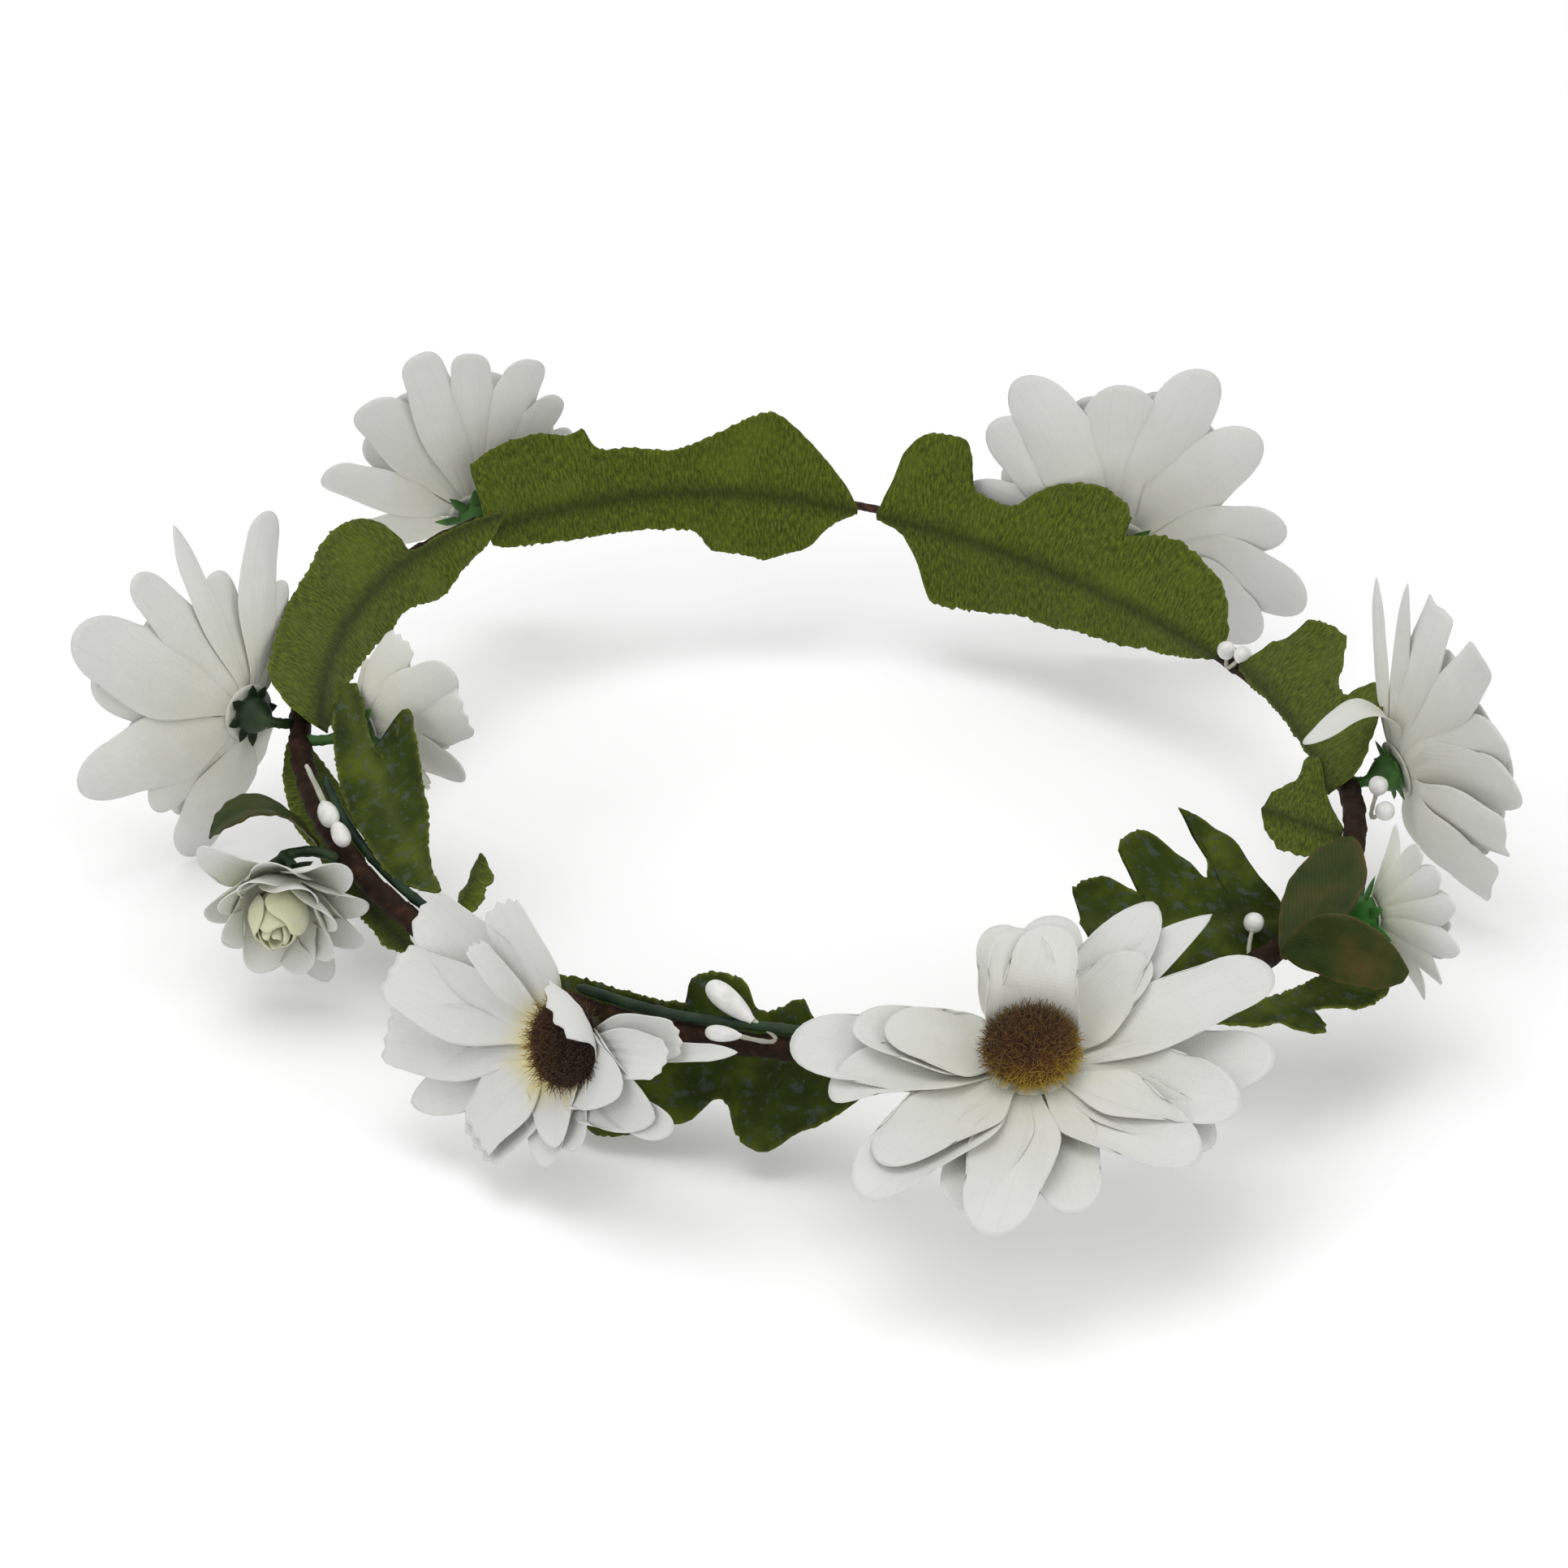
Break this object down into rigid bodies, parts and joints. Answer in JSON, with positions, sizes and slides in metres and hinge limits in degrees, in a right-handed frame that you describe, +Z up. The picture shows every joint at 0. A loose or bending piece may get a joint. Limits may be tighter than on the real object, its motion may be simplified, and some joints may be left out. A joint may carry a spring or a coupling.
{
  "type": "flower crown",
  "caption": "Head wreath: a taped wire ring with white fabric daisies, small rosettes, lobed and oval green leaves and pearl berries wired round it.",
  "frame": {"origin": "centre of the head opening, level with the middle of the taped ring's path", "axes": "+Z up out of the crown when worn level, -Y towards the front with the two large open daisies, +X towards the wearer's left"},
  "size_m": [0.2409, 0.2324, 0.0639],
  "materials": {
    "papered_wire": "thin paper-covered wire, matte",
    "stem_tape": "crinkled floral stem tape, matte",
    "green_stem": "moulded dark green stem",
    "sepal_green": "moulded green calyx and stalk",
    "white_petal_cloth": "stiffened white polyester with pressed creases",
    "brown_flock": "fuzzy brown flock with a gold rim",
    "rosette_heart": "closed pale green-white petals",
    "oval_leaf": "smooth brown-green leaf with a slight gloss",
    "leaf_cloth": "green leaf cloth, fuzzy below, waxy printed above",
    "pearl_bead": "pearl white bead on a thread"
  },
  "bodies": {
    "root": {"berries_back_right": "pearl_bead", "berries_front": "pearl_bead", "berries_left": "pearl_bead", "berries_right": "pearl_bead", "berry_right_front": "pearl_bead", "core_wire": "papered_wire", "cosmos_front_left_calyx": "sepal_green", "cosmos_front_left_core": "brown_flock", "cosmos_front_left_petals_inner": "white_petal_cloth", "cosmos_front_left_petals_outer": "white_petal_cloth", "daisy_back_left_calyx": "sepal_green", "daisy_back_left_core": "brown_flock", "daisy_back_left_petals_inner": "white_petal_cloth", "daisy_back_left_petals_outer": "white_petal_cloth", "daisy_back_right_calyx": "sepal_green", "daisy_back_right_core": "brown_flock", "daisy_back_right_petals_inner": "white_petal_cloth", "daisy_back_right_petals_outer": "white_petal_cloth", "daisy_front_right_calyx": "sepal_green", "daisy_front_right_core": "brown_flock", "daisy_front_right_petals_inner": "white_petal_cloth", "daisy_front_right_petals_middle": "white_petal_cloth", "daisy_front_right_petals_outer": "white_petal_cloth", "daisy_inner_left_calyx": "sepal_green", "daisy_inner_left_core": "brown_flock", "daisy_inner_left_petals_inner": "white_petal_cloth", "daisy_inner_left_petals_outer": "white_petal_cloth", "daisy_left_calyx": "sepal_green", "daisy_left_core": "brown_flock", "daisy_left_petals_inner": "white_petal_cloth", "daisy_left_petals_outer": "white_petal_cloth", "daisy_right_calyx": "sepal_green", "daisy_right_core": "brown_flock", "daisy_right_petals_inner": "white_petal_cloth", "daisy_right_petals_outer": "white_petal_cloth", "green_strand_front": "green_stem", "green_strand_left": "green_stem", "leaf_back_left": "leaf_cloth", "leaf_back_right": "leaf_cloth", "leaf_front": "leaf_cloth", "leaf_left_inner": "leaf_cloth", "leaf_left_lower": "leaf_cloth", "leaf_left_upper": "leaf_cloth", "leaf_right_front": "leaf_cloth", "leaf_right_inner": "leaf_cloth", "leaf_right_lower": "leaf_cloth", "leaf_right_upper": "leaf_cloth", "leaf_tip_left": "leaf_cloth", "oval_leaf_left": "oval_leaf", "oval_leaf_right_lower": "oval_leaf", "oval_leaf_right_upper": "oval_leaf", "rosette_left_calyx": "sepal_green", "rosette_left_core": "rosette_heart", "rosette_left_petals_inner": "white_petal_cloth", "rosette_left_petals_outer": "white_petal_cloth", "rosette_right_calyx": "sepal_green", "rosette_right_core": "rosette_heart", "rosette_right_petals_inner": "white_petal_cloth", "rosette_right_petals_outer": "white_petal_cloth", "stem_tape": "stem_tape"}
  },
  "joints": []
}
